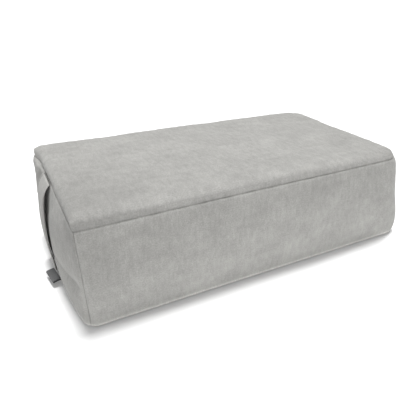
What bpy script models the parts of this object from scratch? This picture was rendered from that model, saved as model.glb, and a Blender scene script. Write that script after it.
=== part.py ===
"""Yoga bolster: a filled cushion with one carry strap and one folded side tag.

The long axis is X, the front is at -Y, and the cushion lies on Z = 0. The cushion is worked out
from one surface function: a plan of the top panel that is pushed out at the ends, drawn in at the
sewn edges and rounded where it meets the floor. All sizes are in metres.
"""
from collections import namedtuple

import bmesh
import bpy
import numpy as np

# Cushion: driving dimensions
PANEL_LENGTH = 0.567        # top panel between its two short seams, along X
PANEL_WIDTH = 0.309         # top panel between its two long seams, along Y
SEAM_HEIGHT = 0.158         # top seam above the floor
CROWN = 0.0150              # top panel above its seam, mid length
CROWN_TILT = 0.0040         # how much fuller the left half is than the middle
BAND = 0.0075               # the part of that rise that stands upright over the seam
BAND_LEAN = 0.0015          # how far the band leans in over the front and back seams
FRONT_SLOPE = 0.0020        # the extra lean over the front seam at the right end
BAND_LEAN_RIGHT = 0.0040    # how far it leans in over the right seam
BACK_EDGE_ROLL = 0.022      # width of the roll-over along each seam
FRONT_EDGE_ROLL = 0.028
FRONT_SOFTER = 0.7          # how much the front roll opens out towards the right end
LEFT_EDGE_ROLL = 0.012
RIGHT_EDGE_ROLL = 0.020
FOOT_RADIUS = 0.008         # rounding where the walls meet the floor
LONG_WALL_BULGE = 0.004     # the front and back bow out by this much, mid height
SEAM_PULL = 0.0008          # the thread draws the top seam in
SEAM_PULL_SPREAD = 0.008    # height over which that pull fades
FOOT_ZONE = 0.03            # width of the strip that the walls' pull is spread over

# Left end: one flat panel that bulges out from its seam
END_ZONE_LEFT = 0.10        # share of the half length that the bulge takes up
LEFT_ARCH_POWER = 2.2       # how squarely it spans the width
LEFT_OUT = 0.0152
LEFT_OUT_POWER = 3.1
LEFT_OUT_ROOT = 0.8
LEFT_FOOT_TUCK = 0.0025     # it draws back under towards the floor
LEFT_FOOT_TUCK_HEIGHT = 0.035
PUFF = 0.0065               # its back half puffs out just under the seam
PUFF_RISE = 0.006
PUFF_FADE = 0.025
PUFF_START = 0.30           # shares of the half width
PUFF_FULL = 0.80
EAR_START = 0.65            # from here back the puff also lifts the seam's corner

# Right end: the band that runs on round from the front
END_ZONE_RIGHT = 0.40       # share of the half length that the bulge takes up
RIGHT_ARCH_POWER = 2.6
RIGHT_MIDDLE_EXTRA = 0.17   # the right end is this much fuller mid width

# Corner radii in plan
LEFT_CORNER_TOP = 0.004
LEFT_CORNER_FOOT = 0.016
RIGHT_CORNER_TOP = 0.038
RIGHT_CORNER_FOOT = 0.016

# Crease that runs across the left end panel, lower towards the back
CREASE_DEPTH = 0.004
CREASE_HALF_WIDTH = 0.014
CREASE_FRONT_HEIGHT = 0.066
CREASE_DROP = 0.030         # how much lower it is at mid width
CREASE_BACK_START = -0.06   # it fades out towards the strap between these two places
CREASE_BACK_END = 0.01
CREASE_FRONT_FADE = 0.03    # and over this width beside the front seam

# Carry strap
STRAP_WIDTH = 0.055
STRAP_THICKNESS = 0.0022
STRAP_CENTRE_Y = 0.031
STRAP_COLUMNS = 6
STRAP_ROWS = 34

# Side tag
TAG_WIDTH = 0.034
TAG_REACH = 0.0130          # how far the loop stands out of the seam
TAG_CLOTH = 0.0010          # thickness of one layer
TAG_GAP = 0.0020            # air between the two layers
TAG_HEIGHT = 0.0125         # middle of the loop at the seam
TAG_DROOP = 0.0030          # how much lower its tip is
TAG_SKEW = 0.0050           # how much further out the end beside the strap lies
TAG_CENTRE_Y = -0.0165
TAG_STEPS = 8

CLEARANCE = 0.0004          # air between neighbouring pieces

PushRow = namedtuple("PushRow", "height out")
RIGHT_PROFILE = (           # height as a share of the seam height, push out in metres
    PushRow(0.00, 0.0180),
    PushRow(0.18, 0.0285),
    PushRow(0.45, 0.0215),
    PushRow(0.74, 0.0135),
    PushRow(1.00, 0.0000),
)

StrapRow = namedtuple("StrapRow", "height out")
STRAP_ROUTE = (             # middle of the strap: height above the floor, distance from the end seam
    StrapRow(0.1574, 0.0018),
    StrapRow(0.1518, 0.0069),
    StrapRow(0.1425, 0.0125),
    StrapRow(0.1270, 0.0166),
    StrapRow(0.1050, 0.0191),
    StrapRow(0.0850, 0.0208),
    StrapRow(0.0650, 0.0212),
    StrapRow(0.0470, 0.0203),
    StrapRow(0.0270, 0.0181),
    StrapRow(0.0110, 0.0166),
    StrapRow(0.0060, 0.0154),
)

Cloth = namedtuple("Cloth", "colour roughness")
COVER_CLOTH = Cloth((0.43, 0.43, 0.41), 0.90)
STRAP_CLOTH = Cloth((0.40, 0.40, 0.385), 0.90)
TAG_CLOTH_FINISH = Cloth((0.12, 0.12, 0.12), 0.80)


def smooth_step(value, low, high):
    """Rise from 0 at low to 1 at high, level at both."""
    share = np.clip((value - low) / (high - low), 0.0, 1.0)
    return share * share * (3.0 - 2.0 * share)


def right_push(z):
    """Push of the right end at a height: the lowest polynomial through the profile's rows."""
    heights = [row.height for row in RIGHT_PROFILE]
    fit = np.polyfit(heights, [row.out for row in RIGHT_PROFILE], len(heights) - 1)
    return np.polyval(fit, np.clip(z / SEAM_HEIGHT, 0.0, 1.0))


def left_push(b, z):
    """Push of the left end panel for a share b of the half width and a height z.

    A profile that leaves the seam steeply and is nearly upright below it, arched to nothing at the
    front edge. Behind the strap the panel puffs out just below the seam, and its corner stands out.
    """
    share = np.clip(z / SEAM_HEIGHT, 0.0, 1.0)
    profile = LEFT_OUT * (1.0 - share ** LEFT_OUT_POWER) ** LEFT_OUT_ROOT
    profile = profile - LEFT_FOOT_TUCK * np.clip(1.0 - z / LEFT_FOOT_TUCK_HEIGHT, 0.0, 1.0) ** 2
    arch = 1.0 - np.clip(-b, 0.0, 1.0) ** LEFT_ARCH_POWER
    below = SEAM_HEIGHT - z
    rise = np.sqrt(1.0 - (1.0 - np.clip(below / PUFF_RISE, 0.0, 1.0)) ** 2)
    rise = rise + (1.0 - rise) * smooth_step(b, EAR_START, 1.0)
    puff = PUFF * rise * np.exp(-(below / PUFF_FADE) ** 2) * smooth_step(b, PUFF_START, PUFF_FULL)
    return profile * arch + puff


def crease_depth(y, z):
    """A trough along a sloping line on the left end panel, fading out at both ends."""
    half = PANEL_WIDTH / 2
    line = CREASE_FRONT_HEIGHT - CREASE_DROP * (y + half) / half
    fade = smooth_step(y, -half, -half + CREASE_FRONT_FADE) * (1.0 - smooth_step(y, CREASE_BACK_START, CREASE_BACK_END))
    return CREASE_DEPTH * fade * np.exp(-((z - line) / CREASE_HALF_WIDTH) ** 2)


def rounded_plan(s, t, z):
    """Plan point (s, t) with the square corners of the panel turned into arcs.

    In the square beside a corner, the larger of the two distances becomes the radius of an arc.
    """
    share = np.clip(z / SEAM_HEIGHT, 0.0, 1.0)
    left = LEFT_CORNER_FOOT + (LEFT_CORNER_TOP - LEFT_CORNER_FOOT) * share
    right = RIGHT_CORNER_FOOT + (RIGHT_CORNER_TOP - RIGHT_CORNER_FOOT) * share
    radius = np.where(s < 0, left, right)
    along = np.clip((np.abs(s) - PANEL_LENGTH / 2) / radius + 1.0, 0.0, 1.0)
    across = np.clip((np.abs(t) - PANEL_WIDTH / 2) / radius + 1.0, 0.0, 1.0)
    reach = np.maximum(np.hypot(along, across), 1e-9)
    keep = np.where((along > 0) & (across > 0), np.maximum(along, across) / reach, 1.0)
    x = np.sign(s) * (np.abs(s) - radius * along * (1.0 - keep))
    y = np.sign(t) * (np.abs(t) - radius * across * (1.0 - keep))
    return x, y


def wall_pull(z, lean):
    """Draw the walls in: a quarter circle at the foot, a narrow pull at the seam, a lean above it."""
    foot = 1.0 - np.clip(z / FOOT_RADIUS, 0.0, 1.0)
    seam = np.clip(1.0 - np.abs(z - SEAM_HEIGHT) / SEAM_PULL_SPREAD, 0.0, 1.0)
    above = np.clip((z - SEAM_HEIGHT) / BAND, 0.0, 1.0)
    return FOOT_RADIUS * (1.0 - np.sqrt(1.0 - foot ** 2)) + SEAM_PULL * seam ** 2 + lean * above ** 1.5


def along_share(s):
    """0 at the left end and 1 at the right end."""
    return np.clip(s / PANEL_LENGTH + 0.5, 0.0, 1.0)


def fullness(s):
    """How full the cushion is along its length, as a share of the crown at mid length."""
    return 1.0 - CROWN_TILT / CROWN * 2.0 * s / PANEL_LENGTH


def cushion_point(s, t, z):
    """Point of the cushion for plan place (s, t) at height z, up to SEAM_HEIGHT + BAND.

    s and t run over the top panel's rectangle, and its rim gives the walls.
    """
    s, t, z = np.broadcast_arrays(s, t, z)
    half_length, half_width = PANEL_LENGTH / 2, PANEL_WIDTH / 2
    a, b = s / half_length, t / half_width
    x, y = rounded_plan(s, t, z)
    arch = 1.0 - np.abs(b) ** RIGHT_ARCH_POWER
    at_left = np.clip((-a - 1.0 + END_ZONE_LEFT) / END_ZONE_LEFT, 0.0, 1.0) ** 2
    at_right = np.clip((a - 1.0 + END_ZONE_RIGHT) / END_ZONE_RIGHT, 0.0, 1.0) ** 2
    x = x - at_left * (left_push(b, z) - crease_depth(t, z))
    x = x + at_right * right_push(z) * (1.0 + RIGHT_MIDDLE_EXTRA * arch)
    bow = LONG_WALL_BULGE * np.sin(np.pi * np.clip(z / SEAM_HEIGHT, 0.0, 1.0)) * (1.0 - a ** 4)
    y = y + np.where(np.abs(b) > 0.999, np.sign(b) * bow, 0.0)
    end_pull = wall_pull(z, np.where(s > 0, BAND_LEAN_RIGHT, 0.0))
    x = x - np.sign(s) * end_pull * np.clip((np.abs(s) - half_length) / FOOT_ZONE + 1.0, 0.0, 1.0)
    lean = BAND_LEAN + np.where(t < 0, FRONT_SLOPE * along_share(s), 0.0)
    y = y - np.sign(t) * wall_pull(z, lean) * np.clip((np.abs(t) - half_width) / FOOT_ZONE + 1.0, 0.0, 1.0)
    height = np.minimum(z, SEAM_HEIGHT) + np.maximum(z - SEAM_HEIGHT, 0.0) * fullness(s)
    return np.stack([x, y, height], axis=-1)


def crown_height(s, t):
    """Rise of the top panel over its upright band: a quarter turn at the rim, nearly flat inside it."""
    def roll(distance, width, square=2.0):
        inner = 1.0 - np.clip(distance / width, 0.0, 1.0)
        return (1.0 - inner ** 2.2) ** (1.0 / square)
    along = roll(PANEL_LENGTH / 2 - np.abs(s), np.where(s < 0, LEFT_EDGE_ROLL, RIGHT_EDGE_ROLL))
    from_front, from_back = PANEL_WIDTH / 2 + t, PANEL_WIDTH / 2 - t
    softer = 2.0 - FRONT_SOFTER * along_share(s)
    across = np.where(t < 0, roll(from_front, FRONT_EDGE_ROLL, softer), roll(from_back, BACK_EDGE_ROLL))
    return (CROWN - BAND) * fullness(s) * along * across


def stations(half, first_roll, last_roll, steps):
    """Places from -half to +half: close together in the edge rolls and corners, even between them."""
    corner = RIGHT_CORNER_TOP
    first, last = [
        np.concatenate([roll * np.array([0.0, 0.08, 0.25, 0.50, 0.75, 1.0]), [(roll + corner) / 2]])
        for roll in (first_roll, last_roll)
    ]
    inner = np.linspace(-(half - corner), half - corner, steps + 1)
    return np.concatenate([first - half, inner, half - last[::-1]])


def wall_heights():
    """Heights of the wall's rings: a quarter turn at the foot, even rings, close rings round the seam."""
    turn = np.linspace(0.0, np.pi / 2, 5)
    foot = FOOT_RADIUS * (1.0 - np.cos(turn))
    puff = SEAM_HEIGHT - PUFF_FADE
    even = np.linspace(FOOT_RADIUS, puff, 10)[1:]
    close = SEAM_HEIGHT - np.array([0.016, SEAM_PULL_SPREAD, PUFF_RISE, 0.0025, 0.0])
    band = SEAM_HEIGHT + BAND * np.array([0.5, 1.0])
    return np.concatenate([foot, even, close, band])


def add_grid(mesh, points):
    """Add one grid of points and its faces to a bmesh."""
    rows, columns = points.shape[:2]
    verts = [mesh.verts.new(point) for point in points.reshape(-1, 3)]
    for i in range(rows - 1):
        for j in range(columns - 1):
            k = i * columns + j
            mesh.faces.new((verts[k], verts[k + columns], verts[k + columns + 1], verts[k + 1]))


def finish_mesh(mesh, name, material, smooth_angle):
    """Weld, close, turn the faces out, triangulate and make the object."""
    bmesh.ops.remove_doubles(mesh, verts=mesh.verts, dist=1e-6)
    rim = [edge for edge in mesh.edges if edge.is_boundary]
    if rim:
        bmesh.ops.holes_fill(mesh, edges=rim, sides=0)
    bmesh.ops.triangulate(mesh, faces=mesh.faces)
    bmesh.ops.recalc_face_normals(mesh, faces=mesh.faces)
    data = bpy.data.meshes.new(name)
    mesh.to_mesh(data)
    mesh.free()
    data.shade_smooth()
    data.set_sharp_from_angle(angle=np.radians(smooth_angle))
    data.materials.append(material)
    item = bpy.data.objects.new(name, data)
    bpy.context.scene.collection.objects.link(item)
    return item


def cloth_material(name, cloth):
    """A plain Principled cloth."""
    material = bpy.data.materials.new(name)
    material.use_nodes = True
    shader = material.node_tree.nodes["Principled BSDF"]
    shader.inputs["Base Color"].default_value = (*cloth.colour, 1.0)
    shader.inputs["Roughness"].default_value = cloth.roughness
    shader.inputs["Metallic"].default_value = 0.0
    return material


def build_bolster():
    """Top panel and four walls as grids that share their edges; the flat bottom closes the rim."""
    s = stations(PANEL_LENGTH / 2, LEFT_EDGE_ROLL, RIGHT_EDGE_ROLL, 14)
    t = stations(PANEL_WIDTH / 2, FRONT_EDGE_ROLL, BACK_EDGE_ROLL, 8)
    z = wall_heights()
    mesh = bmesh.new()
    top = cushion_point(s[:, None], t[None, :], SEAM_HEIGHT + BAND)
    top[..., 2] += crown_height(s[:, None], t[None, :])
    add_grid(mesh, top)
    for side in (-1.0, 1.0):
        add_grid(mesh, cushion_point(s[:, None], side * PANEL_WIDTH / 2, z[None, :]))
        add_grid(mesh, cushion_point(side * PANEL_LENGTH / 2, t[:, None], z[None, :]))
    return finish_mesh(mesh, "bolster", cloth_material("cover_cloth", COVER_CLOTH), 60)


def smooth_route(rows, count):
    """Evenly spaced points on a Catmull-Rom curve through the table's rows."""
    knots = np.array([(-row.out, row.height) for row in rows])
    knots = np.vstack([2 * knots[0] - knots[1], knots, 2 * knots[-1] - knots[-2]])
    u = np.linspace(0.0, 1.0, 24, endpoint=False)[:, None]
    pieces = []
    for p0, p1, p2, p3 in zip(knots[:-3], knots[1:-2], knots[2:-1], knots[3:]):
        pieces.append(0.5 * (2 * p1 + (p2 - p0) * u + (2 * p0 - 5 * p1 + 4 * p2 - p3) * u ** 2
                             + (3 * p1 - p0 - 3 * p2 + p3) * u ** 3))
    line = np.vstack(pieces + [knots[-2:-1]])
    travelled = np.concatenate([[0.0], np.cumsum(np.hypot(*np.diff(line, axis=0).T))])
    even = np.linspace(0.0, travelled[-1], count)
    return np.column_stack([np.interp(even, travelled, line[:, 0]), np.interp(even, travelled, line[:, 1])])


def route_normals(route):
    """Unit vectors square to a route in the XZ plane, pointing away from the cushion."""
    step = np.gradient(route, axis=0)
    step = step / np.linalg.norm(step, axis=1, keepdims=True)
    return np.column_stack([step[:, 1], -step[:, 0]])


def add_slab(mesh, outer, inner):
    """Close the space between two grids of the same size."""
    add_grid(mesh, outer)
    add_grid(mesh, inner)
    for edge in (np.s_[0, :], np.s_[-1, :], np.s_[:, 0], np.s_[:, -1]):
        add_grid(mesh, np.stack([outer[edge], inner[edge]]))


def build_strap():
    """A strip of cloth that follows its route down the left end."""
    route = smooth_route(STRAP_ROUTE, STRAP_ROWS)
    normal = route_normals(route)
    y = STRAP_CENTRE_Y + np.linspace(-0.5, 0.5, STRAP_COLUMNS + 1) * STRAP_WIDTH

    def face(offset):
        line = route + normal * offset
        grid = np.empty((STRAP_ROWS, len(y), 3))
        grid[..., 0] = line[:, None, 0] - PANEL_LENGTH / 2
        grid[..., 1] = y[None, :]
        grid[..., 2] = line[:, None, 1]
        return grid

    mesh = bmesh.new()
    add_slab(mesh, face(STRAP_THICKNESS / 2), face(-STRAP_THICKNESS / 2))
    return finish_mesh(mesh, "carry_strap", cloth_material("strap_cloth", STRAP_CLOTH), 40)


def build_tag():
    """A loop of tape folded at its tip: out over the top layer, round the fold and back below."""
    half_gap = TAG_GAP / 2
    turn = np.linspace(np.pi / 2, -np.pi / 2, 9)

    def layer(radius):
        tip = TAG_REACH - half_gap - TAG_CLOTH
        straight = np.linspace(0.0, tip, TAG_STEPS, endpoint=False)
        out = np.concatenate([straight, tip + radius * np.cos(turn), straight[::-1]])
        up = np.concatenate([np.full(TAG_STEPS, radius), radius * np.sin(turn), np.full(TAG_STEPS, -radius)])
        return out, up - TAG_DROOP * (out / TAG_REACH) ** 1.5

    y = TAG_CENTRE_Y + np.linspace(-0.5, 0.5, 5) * TAG_WIDTH
    root = PANEL_LENGTH / 2 + tag_root(y)

    def face(radius):
        out, up = layer(radius)
        grid = np.empty((len(out), len(y), 3))
        grid[..., 0] = -(root[None, :] + out[:, None])
        grid[..., 1] = y[None, :]
        grid[..., 2] = TAG_HEIGHT + up[:, None]
        return grid

    mesh = bmesh.new()
    add_slab(mesh, face(half_gap + TAG_CLOTH), face(half_gap))
    return finish_mesh(mesh, "side_tag", cloth_material("tag_weave", TAG_CLOTH_FINISH), 40)


def tag_root(y):
    """How far out the tag starts: just clear of the end panel, and skewed towards the strap."""
    heights = TAG_HEIGHT + np.linspace(-0.003, 0.003, 7)
    panel = cushion_point(-PANEL_LENGTH / 2, y[:, None], heights[None, :])[..., 0].min(axis=1)
    skew = TAG_SKEW * (y - y[0]) / (y[-1] - y[0])
    return -panel - PANEL_LENGTH / 2 + CLEARANCE + skew


def stand_over_origin(pieces):
    """Slide every mesh so that the middle of the whole part's box is over the origin."""
    corners = np.array([vert.co[:] for piece in pieces for vert in piece.data.vertices])
    middle = (corners.min(axis=0) + corners.max(axis=0)) / 2
    for piece in pieces:
        for vert in piece.data.vertices:
            vert.co.x -= middle[0]
            vert.co.y -= middle[1]


def main():
    for item in list(bpy.data.objects):
        bpy.data.objects.remove(item, do_unlink=True)
    stand_over_origin([build_bolster(), build_strap(), build_tag()])


main()
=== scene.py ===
# %% [markdown]
# # A yoga bolster, dressed for a studio picture
#
# The bolster is a filled cushion with a short-napped grey cover. A maker cuts a top panel, one long band,
# a left end panel and a base, sews them together, fills the cover, and catches a flat carry strap and a
# small folded tag into the seams of the left end. This notebook loads the engineering model as a fixed
# frame and then lays the real looking pieces over it, in the same place and at the same size.

import bpy
import numpy as np
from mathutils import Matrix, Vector


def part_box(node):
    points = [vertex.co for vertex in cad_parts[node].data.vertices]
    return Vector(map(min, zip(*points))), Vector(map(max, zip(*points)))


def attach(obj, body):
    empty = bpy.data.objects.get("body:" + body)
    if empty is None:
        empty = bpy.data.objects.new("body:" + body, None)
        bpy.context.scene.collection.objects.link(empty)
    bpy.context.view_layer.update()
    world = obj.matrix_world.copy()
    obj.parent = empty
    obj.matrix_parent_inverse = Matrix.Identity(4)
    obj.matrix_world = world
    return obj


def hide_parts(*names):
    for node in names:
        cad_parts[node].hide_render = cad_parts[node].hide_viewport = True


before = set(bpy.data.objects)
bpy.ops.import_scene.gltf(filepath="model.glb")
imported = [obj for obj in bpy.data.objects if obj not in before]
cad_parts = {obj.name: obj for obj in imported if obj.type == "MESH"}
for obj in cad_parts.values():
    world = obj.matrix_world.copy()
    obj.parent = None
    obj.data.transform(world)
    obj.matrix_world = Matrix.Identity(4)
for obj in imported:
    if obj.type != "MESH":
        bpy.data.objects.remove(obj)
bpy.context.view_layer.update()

# %% [markdown]
# ## Where the camera stands
#
# A camera could be placed by eye, but small errors in its angle bend every edge of a box shaped thing.
# Here it was worked out from the corners and seams of the picture: how far the camera turns, how far it
# tips down, and a lens length. The numbers are in the cushion's own coordinates, with the middle of the
# top panel over zero, and `shift_x` moves them into the frame.

# %% Camera
PICTURE_SIZE = 416            # pixels, square
SENSOR_WIDTH = 36.0           # millimetres
FOCAL_PIXELS = 424.1
CAMERA_TURN = 26.94           # degrees to the right of straight ahead
CAMERA_TIP = 27.63            # degrees down
CAMERA_PLACE = (-0.3363, -0.6206, 0.4221)


def add_camera(shift_x):
    """A level camera that looks along +Y, turned right and tipped down."""
    data = bpy.data.cameras.new("studio_camera")
    data.sensor_width = SENSOR_WIDTH
    data.sensor_fit = "HORIZONTAL"
    data.lens = FOCAL_PIXELS / PICTURE_SIZE * SENSOR_WIDTH
    data.clip_start = 0.01
    camera = bpy.data.objects.new("studio_camera", data)
    camera.location = Vector(CAMERA_PLACE) + Vector((shift_x, 0.0, 0.0))
    camera.rotation_euler = np.radians((90.0 - CAMERA_TIP, 0.0, -CAMERA_TURN))
    bpy.context.scene.collection.objects.link(camera)
    bpy.context.scene.camera = camera
    print("lens in millimetres:", round(data.lens, 2))


# %% [markdown]
# ## The plan of the cushion
#
# The cover is cut to a plan: a rectangle for the top panel, and walls that hang from its rim. Everything
# else is a push in or out from that plan: the ends bulge, the corners are round, the thread pulls the
# seam in, and the filling rounds the foot where the walls meet the floor. A sculpted mesh could look the
# same, but a few named sizes keep the shape easy to check against a tape measure. All sizes are in metres.

# %% Cushion plan
PANEL_LENGTH = 0.567
PANEL_WIDTH = 0.309
SEAM_HEIGHT = 0.158           # the top seam, above the floor
HALF_LENGTH = PANEL_LENGTH / 2
HALF_WIDTH = PANEL_WIDTH / 2
print("cover plan in millimetres:", round(PANEL_LENGTH * 1000), "by", round(PANEL_WIDTH * 1000))

# %% [markdown]
# ## Two ends that differ
#
# The right end swells low down, as a slack end does when the filling settles. The left end is a panel of
# its own and stands nearly upright, with a soft crease across it and a puffed corner behind the strap.
# Each push is a smooth function of height and depth, so no point has to be placed by hand.

# %% Bulge of the right end
RIGHT_PROFILE_HEIGHT = (0.00, 0.18, 0.45, 0.74, 1.00)       # share of the seam height
RIGHT_PROFILE_OUT = (0.0180, 0.0285, 0.0215, 0.0135, 0.0)


def right_push(z):
    """Push of the right end at a height: the lowest polynomial through the profile's rows."""
    share = np.clip(z / SEAM_HEIGHT, 0.0, 1.0)
    fit = np.polyfit(RIGHT_PROFILE_HEIGHT, RIGHT_PROFILE_OUT, len(RIGHT_PROFILE_OUT) - 1)
    return np.polyval(fit, share)


print("right end at mid height, in millimetres:", (right_push(SEAM_HEIGHT / 2) * 1000).round(1))

# %% Bulge, puff and crease of the left end
LEFT_OUT = 0.0152
LEFT_OUT_POWER = 3.1
LEFT_OUT_ROOT = 0.8
LEFT_ARCH_POWER = 2.2
LEFT_FOOT_TUCK = 0.0025       # it draws back under towards the floor
LEFT_FOOT_TUCK_HEIGHT = 0.035
PUFF = 0.0065                 # the back half of the left end swells by this, just under the seam
PUFF_RISE = 0.006
PUFF_FADE = 0.025
PUFF_START = 0.30             # shares of the half width
PUFF_FULL = 0.80
EAR_START = 0.65
CREASE_DEPTH = 0.004
CREASE_HALF_WIDTH = 0.014
CREASE_FRONT_HEIGHT = 0.066
CREASE_DROP = 0.030
CREASE_BACK_START = -0.06
CREASE_BACK_END = 0.01
CREASE_FRONT_FADE = 0.03


def smooth_step(value, low, high):
    """Rise from 0 at low to 1 at high, level at both."""
    share = np.clip((value - low) / (high - low), 0.0, 1.0)
    return share * share * (3.0 - 2.0 * share)


def left_push(b, z):
    """Push of the left end panel for a share b of the half width and a height z.

    A profile that leaves the seam steeply and is nearly upright below it, arched to nothing at the
    front edge. Behind the strap the panel puffs out just below the seam, and its corner stands out.
    """
    share = np.clip(z / SEAM_HEIGHT, 0.0, 1.0)
    profile = LEFT_OUT * (1.0 - share ** LEFT_OUT_POWER) ** LEFT_OUT_ROOT
    profile = profile - LEFT_FOOT_TUCK * np.clip(1.0 - z / LEFT_FOOT_TUCK_HEIGHT, 0.0, 1.0) ** 2
    arch = 1.0 - np.clip(-b, 0.0, 1.0) ** LEFT_ARCH_POWER
    below = SEAM_HEIGHT - z
    rise = np.sqrt(1.0 - (1.0 - np.clip(below / PUFF_RISE, 0.0, 1.0)) ** 2)
    rise = rise + (1.0 - rise) * smooth_step(b, EAR_START, 1.0)
    puff = PUFF * rise * np.exp(-(below / PUFF_FADE) ** 2) * smooth_step(b, PUFF_START, PUFF_FULL)
    return profile * arch + puff


def crease_depth(y, z):
    """Trough on the left end: a bell curve about a line that drops towards the back, fading at both ends."""
    line = CREASE_FRONT_HEIGHT - CREASE_DROP * (y + HALF_WIDTH) / HALF_WIDTH
    front = smooth_step(y, -HALF_WIDTH, -HALF_WIDTH + CREASE_FRONT_FADE)
    fade = front * (1.0 - smooth_step(y, CREASE_BACK_START, CREASE_BACK_END))
    return CREASE_DEPTH * fade * np.exp(-((z - line) / CREASE_HALF_WIDTH) ** 2)


print("left end at mid height, in millimetres:", (left_push(0.0, SEAM_HEIGHT / 2) * 1000).round(1))

# %% [markdown]
# ## Corners, foot and seam
#
# A filled cover has no sharp corner: the plan's corners are arcs, tighter at the seam on the left than on
# the right. The base curves in under the walls, which makes the thin dark line that grounds a cushion on
# its floor, and the thread draws the walls in a little at the top seam.

# %% Round corners and the pull of foot and seam
LEFT_CORNER_TOP = 0.004
LEFT_CORNER_FOOT = 0.016
RIGHT_CORNER_TOP = 0.038
RIGHT_CORNER_FOOT = 0.016
FOOT_HEIGHT = 0.005           # the bottom edge stands off the floor by this, less than the solid's
FOOT_REACH = 0.016            # the base curves in under it by this
SEAM_PULL = 0.0008
SEAM_PULL_SPREAD = 0.008
BAND = 0.0075                 # the strip of the top panel that stands upright over the seam


def rounded_plan(s, t, z):
    """Plan with round corners: in a corner square, the larger distance becomes an arc's radius."""
    share = np.clip(z / SEAM_HEIGHT, 0.0, 1.0)
    left = LEFT_CORNER_FOOT + (LEFT_CORNER_TOP - LEFT_CORNER_FOOT) * share
    right = RIGHT_CORNER_FOOT + (RIGHT_CORNER_TOP - RIGHT_CORNER_FOOT) * share
    radius = np.where(s < 0, left, right)
    along = np.clip((np.abs(s) - HALF_LENGTH) / radius + 1.0, 0.0, 1.0)
    across = np.clip((np.abs(t) - HALF_WIDTH) / radius + 1.0, 0.0, 1.0)
    reach = np.maximum(np.hypot(along, across), 1e-9)
    keep = np.where((along > 0) & (across > 0), np.maximum(along, across) / reach, 1.0)
    x = np.sign(s) * (np.abs(s) - radius * along * (1.0 - keep))
    y = np.sign(t) * (np.abs(t) - radius * across * (1.0 - keep))
    return x, y


def wall_pull(z, lean):
    """Draw the walls in: a quarter oval at the foot, a narrow pull at the seam, a lean above it."""
    foot = 1.0 - np.clip(z / FOOT_HEIGHT, 0.0, 1.0)
    seam = np.clip(1.0 - np.abs(z - SEAM_HEIGHT) / SEAM_PULL_SPREAD, 0.0, 1.0)
    above = np.clip((z - SEAM_HEIGHT) / BAND, 0.0, 1.0)
    return FOOT_REACH * (1.0 - np.sqrt(1.0 - foot ** 2)) + SEAM_PULL * seam ** 2 + lean * above ** 1.5


print("foot drawn in on the floor, in millimetres:", (wall_pull(0.0, 0.0) * 1000).round(1))

# %% [markdown]
# ## One function for the whole cushion
#
# `cushion_point` takes two plan distances and a height, all as numpy arrays, and returns points. The top
# panel, each wall and the base are the same function read over different ranges, so their edges meet
# exactly and weld into one closed skin.

# %% The cushion's surface function
END_ZONE_LEFT = 0.10          # the ends' bulge fades over this share of the half length
END_ZONE_RIGHT = 0.40
RIGHT_ARCH_POWER = 2.6
RIGHT_MIDDLE_EXTRA = 0.17     # the middle of the right end stands out by this share more
LONG_WALL_BULGE = 0.004
FOOT_ZONE = 0.03              # width of the strip that the walls' pull is spread over
BAND_LEAN = 0.0015            # how far the band leans in over the long seams
BAND_LEAN_RIGHT = 0.0040
FRONT_SLOPE = 0.0020          # more lean over the front seam at the right end
CROWN = 0.0150                # rise of the top panel above its seam, mid length
CROWN_TILT = 0.0040           # the left end is fuller by this, the right end flatter


def along_share(s):
    """0 at the left end and 1 at the right end."""
    return np.clip((s / HALF_LENGTH + 1.0) / 2.0, 0.0, 1.0)


def fullness(s):
    """How full the cushion is along its length, as a share of the crown at mid length."""
    return 1.0 - CROWN_TILT / CROWN * s / HALF_LENGTH


def cushion_point(s, t, z):
    """Rounded plan, plus bulging ends, bowed long walls and the pull at foot and seam."""
    s, t, z = np.broadcast_arrays(s, t, z)
    a, b = s / HALF_LENGTH, t / HALF_WIDTH
    x, y = rounded_plan(s, t, z)
    arch = 1.0 - np.abs(b) ** RIGHT_ARCH_POWER
    at_left = np.clip((-a - 1.0 + END_ZONE_LEFT) / END_ZONE_LEFT, 0.0, 1.0) ** 2
    at_right = np.clip((a - 1.0 + END_ZONE_RIGHT) / END_ZONE_RIGHT, 0.0, 1.0) ** 2
    x = x - at_left * (left_push(b, z) - crease_depth(t, z))
    x = x + at_right * right_push(z) * (1.0 + RIGHT_MIDDLE_EXTRA * arch)
    bow = LONG_WALL_BULGE * np.sin(np.pi * np.clip(z / SEAM_HEIGHT, 0.0, 1.0)) * (1.0 - a ** 4)
    y = y + np.where(np.abs(b) > 0.999, np.sign(b) * bow, 0.0)
    end_pull = wall_pull(z, np.where(s > 0, BAND_LEAN_RIGHT, 0.0))
    x = x - np.sign(s) * end_pull * np.clip((np.abs(s) - HALF_LENGTH) / FOOT_ZONE + 1.0, 0.0, 1.0)
    lean = BAND_LEAN + np.where(t < 0, FRONT_SLOPE * along_share(s), 0.0)
    y = y - np.sign(t) * wall_pull(z, lean) * np.clip((np.abs(t) - HALF_WIDTH) / FOOT_ZONE + 1.0, 0.0, 1.0)
    height = np.minimum(z, SEAM_HEIGHT) + np.maximum(z - SEAM_HEIGHT, 0.0) * fullness(s)
    return np.stack([x, y, height], axis=-1)


print("front edge of the plan, mid length:", cushion_point(0.0, -HALF_WIDTH, SEAM_HEIGHT / 2).round(4))

# %% Roll of the top panel's edges
BACK_EDGE_ROLL = 0.022
FRONT_EDGE_ROLL = 0.028
FRONT_SOFTER = 0.7            # how much the front roll opens out towards the right end
LEFT_EDGE_ROLL = 0.012
RIGHT_EDGE_ROLL = 0.020
EDGE_ROLL_POWER = 2.2


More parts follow.
